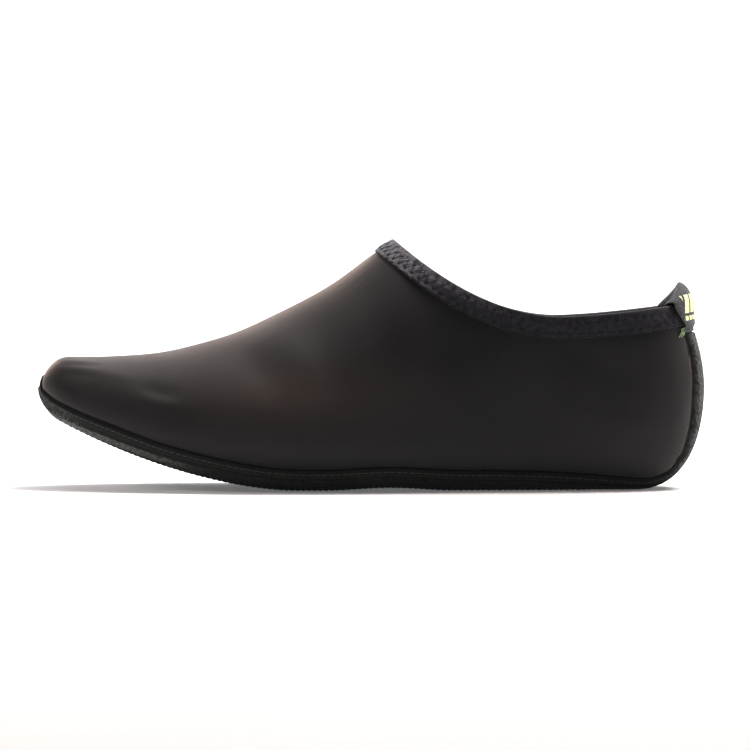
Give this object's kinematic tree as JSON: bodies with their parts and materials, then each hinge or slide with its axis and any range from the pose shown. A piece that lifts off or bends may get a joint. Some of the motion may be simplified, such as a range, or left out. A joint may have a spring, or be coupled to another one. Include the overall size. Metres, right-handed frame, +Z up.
{
  "type": "water shoe",
  "caption": "Low slip-on water shoe with a stretch knit upper, wrapped flexible rubber sole, bound collar and heel pull tab.",
  "frame": {"origin": "on the floor, under the middle of the shoe's box", "axes": "+Z up, the toe points along -X and the heel along +X, the outer side of the foot faces -Y"},
  "size_m": [0.25, 0.0866, 0.0933],
  "materials": {
    "knit": "smooth stretch knit, near black with a warm brown sheen",
    "sole_rubber": "matt dark grey rubber with fine tread",
    "footbed": "dark fabric laid on thin foam",
    "binding_tape": "dark folded elastic tape with zigzag stitches",
    "tab_webbing": "mid grey woven webbing with lime bars"
  },
  "bodies": {
    "root": {"upper": "knit", "sole": "sole_rubber", "insole": "footbed", "collar_binding": "binding_tape", "heel_tab": "tab_webbing"}
  },
  "joints": []
}
